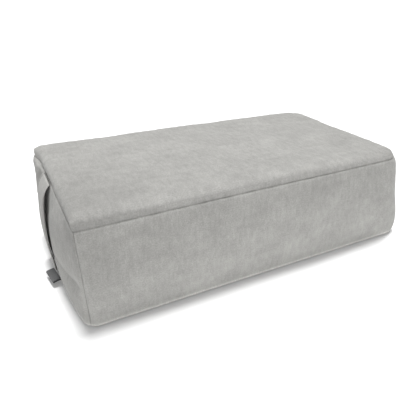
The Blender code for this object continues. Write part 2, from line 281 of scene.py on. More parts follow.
def crown_height(s, t):
    """Rise of the top panel over its upright band: a quarter turn at the rim, nearly flat inside it."""
    def roll(distance, width, square=2.0):
        inner = 1.0 - np.clip(distance / width, 0.0, 1.0)
        return (1.0 - inner ** EDGE_ROLL_POWER) ** (1.0 / square)
    along = roll(HALF_LENGTH - np.abs(s), np.where(s < 0, LEFT_EDGE_ROLL, RIGHT_EDGE_ROLL))
    square = 2.0 - FRONT_SOFTER * along_share(s)
    front = roll(HALF_WIDTH + t, FRONT_EDGE_ROLL, square)
    across = np.where(t < 0, front, roll(HALF_WIDTH - t, BACK_EDGE_ROLL))
    return (CROWN - BAND) * fullness(s) * along * across


print("crown over the band, in millimetres:", (crown_height(0.0, 0.0) * 1000).round(1))

# %% [markdown]
# ## Laying the grid lines
#
# A grid with even steps would need to be very fine everywhere to show a seam two millimetres wide. The
# lines are crowded only where two panels are sewn together, and open up in the middle of a panel.

# %% Grid lines, close together at the seams
SEAM_STEPS = np.array([0.0, 0.5, 1.0, 1.6, 2.4, 3.4, 4.8, 6.6, 9.0, 12.0, 15.5, 19.0]) / 1000
OPEN_STEP = 0.0040


def lines_between(low, high, low_steps=SEAM_STEPS, high_steps=SEAM_STEPS):
    """Grid lines from low to high: crowded by the given steps at each end, even in between."""
    start, stop = low + low_steps[-1], high - high_steps[-1]
    count = max(2, int(round((stop - start) / OPEN_STEP)))
    even = np.linspace(start, stop, count + 1)[1:-1]
    return np.concatenate([low + low_steps, even, high - high_steps[::-1]])


FOOT_STEPS = FOOT_HEIGHT * (1.0 - np.cos(np.linspace(0.0, np.pi / 2, 9)))
s_lines = lines_between(-HALF_LENGTH, HALF_LENGTH)
t_lines = lines_between(-HALF_WIDTH, HALF_WIDTH)
BAND_LINES = SEAM_HEIGHT + np.array([0.5, 1.0, 1.6, 2.4, 3.4, 4.8, 6.2, 7.5]) / 1000
z_lines = np.concatenate([lines_between(0.0, SEAM_HEIGHT, low_steps=FOOT_STEPS), BAND_LINES])
print("grid lines along, across and up:", len(s_lines), len(t_lines), len(z_lines))

# %% [markdown]
# ## Sewing the panels into one skin
#
# Each panel is a grid of points with its own flat coordinates, as it was cut. The grids are stacked into
# one long list, points that share a place are merged, and the panel each face came from is remembered in
# the UV map, so the nap of the cloth can run along each panel as it was cut.

# %% Grids into one mesh
WELD_PLACES = 1e6             # places per metre: points that round to the same one are one point


def grid_faces(rows, columns, start, turned):
    """Four-cornered faces of a grid whose points are numbered row by row; turned faces look the other way."""
    corner = start + (np.arange(rows - 1)[:, None] * columns + np.arange(columns - 1)[None, :]).ravel()
    quad = np.column_stack([corner, corner + columns, corner + columns + 1, corner + 1])
    return quad[:, ::-1] if turned else quad


def weld(points):
    """Points that share a place become one, found by sorting their rounded coordinates.

    Returns the first point of each place, and for every point the number of its place.
    """
    keys = np.round(points * WELD_PLACES).astype(np.int64)
    _, first, where = np.unique(keys, axis=0, return_index=True, return_inverse=True)
    return first, where.reshape(-1)


def point_normals(points, faces):
    """Average of the normals of the faces round each point, larger faces counting more."""
    across = points[faces[:, 2]] - points[faces[:, 0]]
    other = points[faces[:, 3]] - points[faces[:, 1]]
    face_normal = np.cross(across, other)
    normal = np.zeros_like(points)
    for corner in range(4):
        np.add.at(normal, faces[:, corner], face_normal)
    return normal / np.maximum(np.linalg.norm(normal, axis=1, keepdims=True), 1e-12)


def mesh_object(name, points, faces, corner_uv=None, attributes=None):
    """A mesh object at the origin, smooth, with an optional UV map and point attributes."""
    mesh = bpy.data.meshes.new(name)
    mesh.from_pydata(points.tolist(), [], faces if isinstance(faces, list) else faces.tolist())
    mesh.shade_smooth()
    if corner_uv is not None:
        layer = mesh.uv_layers.new(name="cloth")
        layer.data.foreach_set("uv", corner_uv.astype(np.float32).ravel())
    for label, values in (attributes or {}).items():
        layer = mesh.attributes.new(name=label, type="FLOAT", domain="POINT")
        layer.data.foreach_set("value", values.astype(np.float32))
    mesh.update()
    item = bpy.data.objects.new(name, mesh)
    bpy.context.scene.collection.objects.link(item)
    return item


# %% The six panels, sewn
UV_PANEL_STEP = 1.0           # the panels lie this far apart on the UV sheet, in metres


def panels(s, t, z):
    """Top, base, front, back, left end and right end: points, grid lines, seam distance, winding."""
    top = cushion_point(s[:, None], t[None, :], SEAM_HEIGHT + BAND)
    top[..., 2] += crown_height(s[:, None], t[None, :])
    base = cushion_point(s[:, None], t[None, :], 0.0)
    rim = BAND + np.minimum(HALF_LENGTH - np.abs(s)[:, None], HALF_WIDTH - np.abs(t)[None, :])
    under = z[None, :] <= SEAM_HEIGHT
    corner_s = np.where(under, (s + HALF_LENGTH)[:, None], 1.0)
    corner_t = np.where(under, (HALF_WIDTH - np.abs(t))[:, None], 1.0)
    below = np.abs(z[None, :] - SEAM_HEIGHT)
    front = cushion_point(s[:, None], -HALF_WIDTH, z[None, :])
    back = cushion_point(s[:, None], HALF_WIDTH, z[None, :])
    left = cushion_point(-HALF_LENGTH, t[:, None], z[None, :])
    right = cushion_point(HALF_LENGTH, t[:, None], z[None, :])
    far = np.full(base.shape[:2], 1.0)
    return [
        (top, s, t, rim, False), (base, s, t, far, True),
        (front, s, z, np.minimum(corner_s, below), False), (back, s, z, np.minimum(corner_s, below), True),
        (left, t, z, np.minimum(corner_t, below), True),
        (right, t, z, np.broadcast_to(below, corner_t.shape), False),
    ]


def sewn_skin(s, t, z):
    """All panels as one welded skin: points, faces, corner UVs, seam distance, and the weld itself."""
    all_points, all_faces, all_uv, all_seam = [], [], [], []
    start = 0
    for number, (points, u, v, seam, turned) in enumerate(panels(s, t, z)):
        rows, columns = points.shape[:2]
        all_points.append(points.reshape(-1, 3))
        all_faces.append(grid_faces(rows, columns, start, turned))
        flat = np.stack(np.meshgrid(u, v + number * UV_PANEL_STEP, indexing="ij"), axis=-1)
        all_uv.append(flat.reshape(-1, 2))
        all_seam.append(seam.ravel())
        start += rows * columns
    points, faces = np.concatenate(all_points), np.concatenate(all_faces)
    first, where = weld(points)
    corner_uv = np.concatenate(all_uv)[faces.ravel()]
    return points[first], where[faces], corner_uv, np.concatenate(all_seam)[first], (first, where)


skin_points, skin_faces, skin_uv, seam_distance, (skin_first, _) = sewn_skin(s_lines, t_lines, z_lines)
shift_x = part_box("bolster")[1][0] - skin_points[:, 0].max()
print("skin points:", len(skin_points), "faces:", len(skin_faces), "shift:", round(shift_x * 1000, 2), "mm")

# %% [markdown]
# ## Letting the cover swell
#
# Filling presses on a cover from inside, and the cover bulges and puckers between the seams that hold it.
# Blender's cloth simulation does the same with pressure. It runs on a coarse copy of the skin that starts
# slightly too small, is cut slightly too large, and is pinned at the seams and on the floor. Only the
# movement of its points is kept. It is capped and read off smoothly for the fine skin, whose narrow
# seams a coarse cloth couldn't hold.

# %% Cloth simulation
CLOTH_STEP = 0.0075           # between the coarse points
CLOTH_CUT_LARGER = 0.004      # share by which the cut cloth is larger than the panel
CLOTH_PRESSURE = 0.3
CLOTH_STIFFNESS = 0.2         # against bending
CLOTH_FRAMES = 20


def even_lines(low, high):
    """Even grid lines about one coarse step apart."""
    return np.linspace(low, high, int(round((high - low) / CLOTH_STEP)) + 1)


def swollen(points, faces, pinned):
    """Where the points of a closed skin end up after the cloth simulation."""
    item = mesh_object("swelling", points, faces)
    item.vertex_groups.new(name="pinned").add(np.flatnonzero(pinned).tolist(), 1.0, "REPLACE")
    modifier = item.modifiers.new("cloth", "CLOTH")
    modifier.collision_settings.use_collision = False
    settings = modifier.settings
    settings.effector_weights.gravity = 0.0
    settings.vertex_group_mass = "pinned"
    settings.use_pressure = True
    settings.uniform_pressure_force = CLOTH_PRESSURE
    settings.bending_stiffness = CLOTH_STIFFNESS
    settings.shrink_min = -CLOTH_CUT_LARGER
    for number in range(1, CLOTH_FRAMES + 1):
        bpy.context.scene.frame_set(number)
    result = np.empty(len(points) * 3)
    item.evaluated_get(bpy.context.evaluated_depsgraph_get()).data.vertices.foreach_get("co", result)
    bpy.data.objects.remove(item, do_unlink=True)
    bpy.context.scene.frame_set(1)
    return result.reshape(-1, 3)


# %% Movement of the fine skin
CLOTH_ROOM = 0.0008           # how far inside its final place the cloth starts
CLOTH_ROOM_WIDTH = 0.025
CLOTH_HELD = 0.001            # points this near to a seam or the floor are pinned
CLOTH_CAP = 0.0016            # no point moves as far as this from the modelled skin


def through_four(p0, p1, p2, p3, u):
    """A share u of the way from p1 to p2, on the Catmull-Rom curve through all four."""
    return 0.5 * (2 * p1 + (p2 - p0) * u + (2 * p0 - 5 * p1 + 4 * p2 - p3) * u ** 2
                  + (3 * p1 - p0 - 3 * p2 + p3) * u ** 3)


def between_rows(values, places):
    """Rows of a grid read at places between them, on a smooth curve through the nearest four."""
    low = np.clip(np.floor(places).astype(int), 0, len(values) - 2)
    nearest = (values[np.clip(low + k, 0, len(values) - 1)] for k in (-1, 0, 1, 2))
    return through_four(*nearest, (places - low)[:, None, None])


def cloth_movement():
    """Movement of every point of the fine skin, from the simulated coarse one."""
    s, t = even_lines(-HALF_LENGTH, HALF_LENGTH), even_lines(-HALF_WIDTH, HALF_WIDTH)
    z = np.append(even_lines(0.0, SEAM_HEIGHT), SEAM_HEIGHT + BAND)
    points, faces, _, distance, (_, where) = sewn_skin(s, t, z)
    to_foot = points[:, 2] + np.where(points[:, 2] > SEAM_HEIGHT, 1.0, 0.0)
    room = CLOTH_ROOM * (1.0 - np.exp(-(np.minimum(distance, to_foot) / CLOTH_ROOM_WIDTH) ** 2))
    start = points - point_normals(points, faces) * room[:, None]
    pinned = (distance < CLOTH_HELD) | (points[:, 2] < CLOTH_HELD)
    movement = swollen(start, faces, pinned) - points
    length = np.linalg.norm(movement, axis=1, keepdims=True)
    movement = movement * CLOTH_CAP / (CLOTH_CAP + length)
    print("cloth points:", len(points), "largest movement in millimetres:", (length.max() * 1000).round(2),
          "mean:", (length.mean() * 1000).round(2))
    stacked, fine, start_row = movement[where], [], 0
    coarse_panels, fine_panels = panels(s, t, z), panels(s_lines, t_lines, z_lines)
    for (grid, u, v, _, _), (_, fine_u, fine_v, _, _) in zip(coarse_panels, fine_panels):
        count = grid.shape[0] * grid.shape[1]
        values = stacked[start_row:start_row + count].reshape(grid.shape)
        values = between_rows(values, np.interp(fine_u, u, np.arange(len(u))))
        values = between_rows(values.swapaxes(0, 1), np.interp(fine_v, v, np.arange(len(v)))).swapaxes(0, 1)
        fine.append(values.reshape(-1, 3))
        start_row += count
    return np.concatenate(fine)[skin_first]


skin_points = skin_points + cloth_movement()

# %% [markdown]
# ## Soft relief
#
# Real filling is never even. Broad, shallow dents run along the top, and the cloth gathers a little where
# the thread holds it. Both are made by moving each point along its normal: sums of sine waves with odd
# wavelengths for the dents, and a narrow, uneven trough with a ripple beside it for the seams. The left
# end has two marks of its own, a fold pressed in behind the strap and a crease that runs across it.

# %% Seams and gathers
SEAM_TROUGH = 0.0008          # depth of the sewn line
SEAM_TROUGH_WIDTH = 0.0011
GATHER = 0.00035              # height of the ripples beside a seam
GATHER_SPREAD = 0.011
FULL_CORNER_START, FULL_CORNER_END = 0.07, 0.13    # across, where the back left corner fills out
FULL_CORNER_DEPTH = 0.02
FULL_CORNER_SHARE = 0.85      # share of the thread's pull that is lost there


def thread_pull(points):
    """How hard the thread pulls: about 0.5 to 1 along the seams, and hardly at all at the full corner."""
    run = points @ np.array([1.0, 0.9, 1.1])
    uneven = 0.76 + 0.14 * np.sin(run * 173.0 + 0.9) + 0.10 * np.sin(run * 67.0 + 2.0 * np.sin(run * 29.0))
    at_corner = smooth_step(points[:, 1], FULL_CORNER_START, FULL_CORNER_END)
    at_corner = at_corner * (points[:, 0] < -HALF_LENGTH + FULL_CORNER_DEPTH)
    return uneven * (1.0 - FULL_CORNER_SHARE * at_corner)


def seam_relief(points, distance):
    """A narrow trough on the sewn line, and ripples along it that fade within a finger's width."""
    trough = -SEAM_TROUGH * thread_pull(points) * np.exp(-(distance / SEAM_TROUGH_WIDTH) ** 2)
    run = points @ np.array([1.0, 0.83, 1.17])
    ripple = np.sin(run * 410.0) * 0.5 + np.sin(run * 263.0 + 1.7) * 0.5 + np.sin(run * 97.0 + 0.6) * 0.6
    near = (distance / GATHER_SPREAD) * np.exp(1.0 - distance / GATHER_SPREAD)
    return trough + GATHER * ripple * near


# %% Dents, the pressed fold and the fine crease
DENT = 0.0009
DENT_FLOOR_FADE = 0.02        # the dents fade out over this height above the floor
FOLD_PLACE = (0.083, 0.144)   # across and up, on the left end
FOLD_SIZE = (0.009, 0.010)
FOLD_DEPTH = 0.0040
FINE_CREASE = 0.0013          # depth of the fine line in the broad crease
FINE_CREASE_WIDTH = 0.0028
FINE_CREASE_FRONT_FADE = 0.02
FINE_CREASE_BACK_START, FINE_CREASE_BACK_END = -0.01, 0.06


def dents(points):
    """Broad waves that run mostly along the length, a hand's breadth apart."""
    x, y, z = points.T
    waves = (np.sin(y * 46.0 + 3.0 * np.sin(x * 5.0) + 0.4) + 0.7 * np.sin(x * 21.0 + y * 13.0 + 1.1)
             + 0.6 * np.sin(x * 34.0 - z * 29.0 + 2.3) + 0.5 * np.sin(z * 52.0 + x * 9.0 + y * 31.0))
    return DENT * waves / 2.0


def left_end_marks(points):
    """The pressed fold, a deep oval bell, and the fine line in the middle of the broad crease."""
    x, y, z = points.T
    on_end = smooth_step(-x, HALF_LENGTH - 0.002, HALF_LENGTH + 0.004)
    fold = np.exp(-((y - FOLD_PLACE[0]) / FOLD_SIZE[0]) ** 2 - ((z - FOLD_PLACE[1]) / FOLD_SIZE[1]) ** 2)
    line = CREASE_FRONT_HEIGHT - CREASE_DROP * (y + HALF_WIDTH) / HALF_WIDTH
    front = smooth_step(y, -HALF_WIDTH, -HALF_WIDTH + FINE_CREASE_FRONT_FADE)
    fade = front * (1.0 - smooth_step(y, FINE_CREASE_BACK_START, FINE_CREASE_BACK_END))
    fine = fade * np.exp(-((z - line) / FINE_CREASE_WIDTH) ** 2)
    # The second result weights the painted shade drawn along the fine crease.
    return -on_end * (FOLD_DEPTH * fold + FINE_CREASE * fine), fine * on_end


skin_normals = point_normals(skin_points, skin_faces)
clear_of_floor = np.clip(skin_points[:, 2] / DENT_FLOOR_FADE, 0.0, 1.0)
marks, crease_shade_weight = left_end_marks(skin_points)
relief = seam_relief(skin_points, seam_distance) + dents(skin_points) * clear_of_floor + marks
cover_points = skin_points + skin_normals * relief[:, None] + np.array([shift_x, 0.0, 0.0])
cover_points[:, 2] = np.maximum(cover_points[:, 2], 0.0)
print("relief in millimetres, deepest and highest:",
      (relief.min() * 1000).round(2), (relief.max() * 1000).round(2))

# %% [markdown]
# ## Painted light and shade of the cloth
#
# Most of these changes of tone are painted light and shade. The walls are painted paler towards the foot,
# for the light the floor throws back, and the upper left end is painted darker where it faces away from the
# light. On top, painted shade lies along the rolled strip over the front seam and where the top bends down
# to its front left corner, and thin painted highlights lie on the lip just above the floor and on the turned
# edge under the top seam. The front beside its left corner and the right end of the top are simply darker.
# All of it follows the cushion's shape, so it is worked out for each point and stored on the mesh, where the
# material reads it.

# %% Painted light and shade on the walls
# Painted light: the walls are painted paler towards the foot, for the light the floor throws back onto them.
WALL_PAINTED_LIGHT_TOP, WALL_PAINTED_LIGHT_FOOT = 0.02, 0.13
WALL_PAINTED_LIGHT_RISE = (0.3, 1.0)   # shares of the wall's height
WALL_TONE_LEFT = -0.11        # on the front, beside its left corner
WALL_LEFT_FADE = (0.05, 0.30)    # shares of the length
LEFT_END_PAINTED_SHADE = -0.20         # more on the upper half of the left end
# painted shade where the left end faces away from the light, more on its upper half
LEFT_END_RISE = (0.2, 0.9)
LEFT_FACING = (0.4, 0.9)      # from turning left to facing left


def wall_painted_light_and_tone(points, normals):
    """Walls: painted light towards the foot, painted shade high on the left end, darker by the front left
    corner.
    """
    high = np.clip(points[:, 2] / SEAM_HEIGHT, 0.0, 1.0)
    upright = np.clip(1.0 - np.abs(normals[:, 2]) / 0.8, 0.0, 1.0) * (points[:, 2] < SEAM_HEIGHT)
    tone_with_painted_light = upright * (WALL_PAINTED_LIGHT_FOOT + (WALL_PAINTED_LIGHT_TOP - WALL_PAINTED_LIGHT_FOOT) * smooth_step(high, *WALL_PAINTED_LIGHT_RISE))
    tone_with_painted_light += WALL_TONE_LEFT * upright * (1.0 - smooth_step(along_share(points[:, 0]), *WALL_LEFT_FADE))
    # Painted shade on walls that face left, away from the light.
    facing = smooth_step(-normals[:, 0], *LEFT_FACING)
    return tone_with_painted_light + LEFT_END_PAINTED_SHADE * upright * facing * smooth_step(high, *LEFT_END_RISE)


# %% Painted shade and tone of the top panel
TOP_TONE = -0.02
RIGHT_TOP_TONE = -0.04        # more on top towards the right end
RIGHT_TOP_RISE = (0.7, 0.95)  # shares of the length
BAND_PAINTED_SHADE_LEFT, BAND_PAINTED_SHADE_RIGHT = -0.02, -0.11    # painted shade on the rolled strip over the front seam, at its two ends
BAND_TONE_CHANGE = (0.2, 0.6)    # shares of the length
BAND_TONE_FADE = (0.008, 0.017)  # from the seam
CORNER_PAINTED_SHADE = -0.17           # painted shade on top, where it bends down to the front left corner
CORNER_PATCH_PLACE = (-0.27, -0.12)
CORNER_PATCH_SIZE = (0.09, 0.11)
OVER_SEAM = 0.0002            # the top panel starts this far over the seam


def top_painted_shade_and_tone(points, distance):
    """The top: painted shade over the front seam and in a bell by the front left corner; a darker right end.
    """
    x, y, z = points.T
    above = z > SEAM_HEIGHT + OVER_SEAM
    # Painted shade on the rolled strip over the front seam, where it turns from the light.
    over_front = above * (y < 0.0) * (1.0 - smooth_step(distance, *BAND_TONE_FADE))
    towards_right = smooth_step(along_share(x), *BAND_TONE_CHANGE)
    tone_with_painted_light = over_front * (BAND_PAINTED_SHADE_LEFT + (BAND_PAINTED_SHADE_RIGHT - BAND_PAINTED_SHADE_LEFT) * towards_right)
    tone_with_painted_light += above * RIGHT_TOP_TONE * smooth_step(along_share(x), *RIGHT_TOP_RISE)
    # A bell of painted shade where the top bends down to the front left corner.
    patch_x = (x - CORNER_PATCH_PLACE[0]) / CORNER_PATCH_SIZE[0]
    patch_y = (y - CORNER_PATCH_PLACE[1]) / CORNER_PATCH_SIZE[1]
    return tone_with_painted_light + above * (TOP_TONE + CORNER_PAINTED_SHADE * np.exp(-patch_x ** 2 - patch_y ** 2))


# %% Painted highlights on the turned edges
RIM_PAINTED_HIGHLIGHT = 0.75               # painted highlight on the lip just above the floor, for light thrown back from the floor
RIM_HEIGHT, RIM_WIDTH = 0.0048, 0.0028
RIM_FROM = 0.0005             # the base itself stays dark
SEAM_EDGE_PAINTED_HIGHLIGHT = 0.07         # painted highlight on the turned edge under the top seam
SEAM_EDGE_PLACE, SEAM_EDGE_WIDTH = 0.0028, 0.0013
SEAM_EDGE_BELOW = 0.02


def edge_painted_highlights(points, distance):
    """Painted highlights where the cloth is turned: a bell just above the floor, and one under the top seam.
    """
    z = points[:, 2]
    painted_lip_highlight = RIM_PAINTED_HIGHLIGHT * np.exp(-((z - RIM_HEIGHT) / RIM_WIDTH) ** 2) * (z > RIM_FROM)
    under_seam = (z < SEAM_HEIGHT) * (z > SEAM_HEIGHT - SEAM_EDGE_BELOW)
    turned = np.exp(-((distance - SEAM_EDGE_PLACE) / SEAM_EDGE_WIDTH) ** 2)
    return painted_lip_highlight + SEAM_EDGE_PAINTED_HIGHLIGHT * under_seam * turned


tone_with_painted_light = wall_painted_light_and_tone(skin_points, skin_normals) + top_painted_shade_and_tone(skin_points, seam_distance)
tone_with_painted_light += edge_painted_highlights(skin_points, seam_distance)
print("tone, darkest and lightest:", tone_with_painted_light.min().round(3), tone_with_painted_light.max().round(3))

# %% The cover
SEWN_WIDTH = 0.0010           # width of the painted shade along a sewn line
CREASE_PAINTED_SHADE = 0.35            # painted shade in the fine crease, as a share of a sewn line's

# Painted shade along the sewn lines and in the fine crease, stored for the material.
painted_shade_of_sewn_lines = np.exp(-(seam_distance / SEWN_WIDTH) ** 2) * thread_pull(skin_points) + CREASE_PAINTED_SHADE * crease_shade_weight
cover = mesh_object("cushion_cover", cover_points, skin_faces, skin_uv, {"painted_shade_of_sewn_lines": painted_shade_of_sewn_lines, "tone_with_painted_light": tone_with_painted_light})
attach(cover, "root")
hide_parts("bolster")
print("cover in millimetres:", (np.ptp(cover_points, axis=0) * 1000).round(1))

# %% [markdown]
# ## The carry strap
#
# The strap is a flat strip of the cover cloth, caught in the top seam and in the bottom seam of the left
# end. Between them it stands a little off the panel, so a hand fits behind it. It is made as a profile
# carried along a path: a flat, thin cross-section with slightly thicker folded edges.

# %% Paths
def smooth_route(out, height, count):
    """Evenly spaced points on a Catmull-Rom curve through the given points."""
    knots = np.column_stack([-np.array(out), np.array(height)])
    knots = np.vstack([2 * knots[0] - knots[1], knots, 2 * knots[-1] - knots[-2]])
    u = np.linspace(0.0, 1.0, 24, endpoint=False)[None, :, None]
    p0, p1, p2, p3 = (knots[k:len(knots) - 3 + k, None, :] for k in range(4))
    line = np.vstack([through_four(p0, p1, p2, p3, u).reshape(-1, 2), knots[-2:-1]])
    travelled = np.concatenate([[0.0], np.cumsum(np.hypot(*np.diff(line, axis=0).T))])
    even = np.linspace(0.0, travelled[-1], count)
    return np.column_stack([np.interp(even, travelled, values) for values in line.T]), even


def route_normals(route):
    """Unit vectors square to the route, pointing away from the cushion."""
    step = np.gradient(route, axis=0)
    step = step / np.linalg.norm(step, axis=1, keepdims=True)
    return np.column_stack([step[:, 1], -step[:, 0]])


def place_route(route, y):
    """Points of a route in the XZ plane beside the left end, at a depth y."""
    x = route[:, 0] - HALF_LENGTH + shift_x
    return np.column_stack([x, np.full(len(route), y), route[:, 1]])


# %% A strip carried along a path
FLAT_OVAL_POWER = 0.35        # nearer to 0 is nearer to a plain rectangle


def closed_profile(width, thickness, count):
    """Cross-section of a strip as a loop: a flattened oval with nearly flat faces."""
    turn = np.linspace(0.0, 2 * np.pi, count, endpoint=False)
    across = np.sign(np.cos(turn)) * np.abs(np.cos(turn)) ** FLAT_OVAL_POWER * width / 2
    through = np.sign(np.sin(turn)) * np.abs(np.sin(turn)) ** FLAT_OVAL_POWER * thickness / 2
    return across, through


def strip_mesh(name, centres, normals, side, across, through, lift, lengths, attributes=None):
    """Carry a closed profile along a path and close both ends with a fan.

    across and through are the profile, lift moves each profile point of each step along the normal, and
    centres, normals and side give the path in space.
    """
    rows, count = len(centres), len(across)
    rings = (centres[:, None, :] + normals[:, None, :] * (through[None, :] + lift)[..., None]
             + side[:, None, :] * across[None, :, None])
    points = np.concatenate([rings.reshape(-1, 3), rings[0].mean(axis=0)[None], rings[-1].mean(axis=0)[None]])
    ring = np.arange(count)
    after = (ring + 1) % count
    base = (np.arange(rows - 1) * count)[:, None]
    quads = np.stack([base + ring, base + count + ring, base + count + after, base + after], axis=-1)
    quads = quads.reshape(-1, 4)
    start_cap = np.column_stack([np.full(count, rows * count), ring, after])
    last = (rows - 1) * count
    end_cap = np.column_stack([np.full(count, rows * count + 1), last + after, last + ring])
    flat = np.stack(np.broadcast_arrays(across[None, :], lengths[:, None]), axis=-1)
    point_uv = np.concatenate([flat.reshape(-1, 2), np.zeros((2, 2))])
    corner_uv = point_uv[np.concatenate([quads.ravel(), start_cap.ravel(), end_cap.ravel()])]
    faces = quads.tolist() + start_cap.tolist() + end_cap.tolist()
    values = {label: np.append(grid.ravel(), [0.0, 0.0]) for label, grid in (attributes or {}).items()}
    return mesh_object(name, points, faces, corner_uv, values)


# %% Strap
STRAP_WIDTH = 0.055
STRAP_THICKNESS = 0.0022
STRAP_CENTRE_Y = 0.031
STRAP_HEIGHT = (0.1574, 0.1518, 0.1425, 0.1270, 0.1050, 0.0850, 0.0650, 0.0470, 0.0270, 0.0110, 0.0060)
STRAP_OUT = (0.0018, 0.0069, 0.0125, 0.0166, 0.0191, 0.0208, 0.0212, 0.0203, 0.0181, 0.0166, 0.0154)
STRAP_ROWS = 140
STRAP_COLUMNS = 120

route, travelled = smooth_route(STRAP_OUT, STRAP_HEIGHT, STRAP_ROWS)
normals = route_normals(route)
normals3 = np.column_stack([normals[:, 0], np.zeros(STRAP_ROWS), normals[:, 1]])
side3 = np.tile([0.0, 1.0, 0.0], (STRAP_ROWS, 1))
across, through = closed_profile(STRAP_WIDTH, STRAP_THICKNESS, STRAP_COLUMNS)
print("strap length in millimetres:", round(travelled[-1] * 1000))

# %% Stitching and pinched folds, with painted light and shade
STITCH_INSET = 0.0035         # the top stitching runs this far inside each edge
STITCH_WIDTH = 0.0008
STITCH_THINNING = 0.35        # share of the thickness that the stitching presses out
STRAP_FOLD = 0.0011           # height of the pinched folds at the top
STRAP_FOLD_PITCH = 0.0125
STRAP_FOLD_LENGTH = 0.032
STRAP_TONE = -0.06
# Painted light on the ridges of the pinched folds, which leaves their hollows darker.
STRAP_FOLD_PAINTED_LIGHT = 0.10
STRAP_EDGE_PAINTED_HIGHLIGHT = 0.30        # painted highlight on the turned edge at the very top
STRAP_EDGE_PLACE, STRAP_EDGE_WIDTH = 0.0012, 0.0014

from_edge = STRAP_WIDTH / 2 - np.abs(across)
stitch = np.exp(-((from_edge - STITCH_INSET) / STITCH_WIDTH) ** 2)
through = through * (1.0 - STITCH_THINNING * stitch)
top_part = 1.0 - smooth_step(travelled, 0.0, STRAP_FOLD_LENGTH)
fold = 0.5 + 0.5 * np.sin(across * 2 * np.pi / STRAP_FOLD_PITCH + 1.1 * np.sin(across * 170.0) + 0.6)
folds = top_part[:, None] * fold[None, :]
# Painted highlight on the strap's top edge, and painted light on its fold ridges.
painted_end_highlight = STRAP_EDGE_PAINTED_HIGHLIGHT * np.exp(-((travelled - STRAP_EDGE_PLACE) / STRAP_EDGE_WIDTH) ** 2)
strap_tone_and_painted_light = painted_end_highlight[:, None] + STRAP_FOLD_PAINTED_LIGHT * folds + STRAP_TONE
strap = strip_mesh("strap", place_route(route, STRAP_CENTRE_Y), normals3, side3, across, through,
                   STRAP_FOLD * folds, travelled,
                   {"painted_shade_of_sewn_lines": np.tile(stitch, (STRAP_ROWS, 1)), "tone_with_painted_light": strap_tone_and_painted_light})
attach(strap, "root")
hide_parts("carry_strap")
print("strap faces:", len(strap.data.polygons))

# %% [markdown]
# ## The side tag
#
# A short woven tape is folded into a loop and caught in the bottom seam of the left end, beside the strap.
# Its path is one line out, half a turn and one line back, and it droops a little towards its tip.

# %% Tag path
TAG_WIDTH = 0.034
TAG_REACH = 0.0130            # how far the loop stands out
TAG_CLOTH = 0.0010
TAG_GAP = 0.0020              # air between its two layers
TAG_HEIGHT = 0.0125
TAG_DROOP = 0.0030
TAG_DROOP_POWER = 1.5
TAG_STRAIGHT_STEPS = 14
TAG_TURN_STEPS = 17


def tag_path():
    """Distance out and height of the folded tape's middle line, and how far along the tape each step is."""
    radius = (TAG_GAP + TAG_CLOTH) / 2
    tip = TAG_REACH - TAG_GAP / 2 - TAG_CLOTH
    straight = np.linspace(0.0, tip, TAG_STRAIGHT_STEPS, endpoint=False)
    turn = np.linspace(np.pi / 2, -np.pi / 2, TAG_TURN_STEPS)
    out = np.concatenate([straight, tip + radius * np.cos(turn), straight[::-1]])
    layer = np.full(len(straight), radius)
    up = np.concatenate([layer, radius * np.sin(turn), -layer])
    up = TAG_HEIGHT + up - TAG_DROOP * (out / TAG_REACH) ** TAG_DROOP_POWER
    along = np.concatenate([[0.0], np.cumsum(np.hypot(np.diff(out), np.diff(up)))])
    return np.column_stack([-out, up]), along


tag_route, tag_along = tag_path()
print("tag tape length in millimetres:", (tag_along[-1] * 1000).round(1))

# %% Tag, set against the end panel
TAG_SKEW = 0.0050             # how much further out the end beside the strap lies
TAG_CENTRE_Y = -0.0165
TAG_COLUMNS = 80
CLEARANCE = 0.0004            # air between the tag and the end panel


def tag_root(y):
    """Where the tape leaves the end panel at depth y: the panel's furthest point there, and the skew."""
    heights = TAG_HEIGHT + np.linspace(-0.003, 0.003, 7)
    panel = cushion_point(-HALF_LENGTH, y[:, None], heights[None, :])[..., 0].min(axis=1)
    return panel - CLEARANCE - TAG_SKEW * (y - y[0]) / (y[-1] - y[0])


tag_y = TAG_CENTRE_Y + np.linspace(-0.5, 0.5, 9) * TAG_WIDTH
tag_x = tag_root(tag_y)
lean = (tag_x[-1] - tag_x[0]) / TAG_WIDTH
root_x = (tag_x - lean * (tag_y - TAG_CENTRE_Y)).min() + shift_x
tag_normals = route_normals(tag_route)
tag_steps = len(tag_route)
tag_centres = np.column_stack([root_x + tag_route[:, 0], np.full(tag_steps, TAG_CENTRE_Y), tag_route[:, 1]])
tag_normals3 = np.column_stack([tag_normals[:, 0], np.zeros(tag_steps), tag_normals[:, 1]])
tag_side3 = np.tile([lean, 1.0, 0.0], (tag_steps, 1))
tag_across, tag_through = closed_profile(TAG_WIDTH, TAG_CLOTH, TAG_COLUMNS)
tag = strip_mesh("tag", tag_centres, tag_normals3, tag_side3, tag_across, tag_through,
                 np.zeros((tag_steps, TAG_COLUMNS)), tag_along)
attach(tag, "root")
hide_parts("side_tag")
print("tag faces:", len(tag.data.polygons))

# %% [markdown]
# ## Cloth finishes
#
# A napped cloth is a felt of tiny fibres. Light catches the fibre tips, so it looks soft and slightly
# brighter at grazing angles, which the sheen of the Principled shader gives. Brushing leaves the nap lying
# different ways, and that shows as faint patches and streaks, made here from stretched noise.

# %% Node helpers
def new_material(name):
    """A material with an empty Principled shader: returns the material, its tree and the shader."""
    material = bpy.data.materials.new(name)
    material.use_nodes = True
    tree = material.node_tree
    return material, tree, tree.nodes["Principled BSDF"]


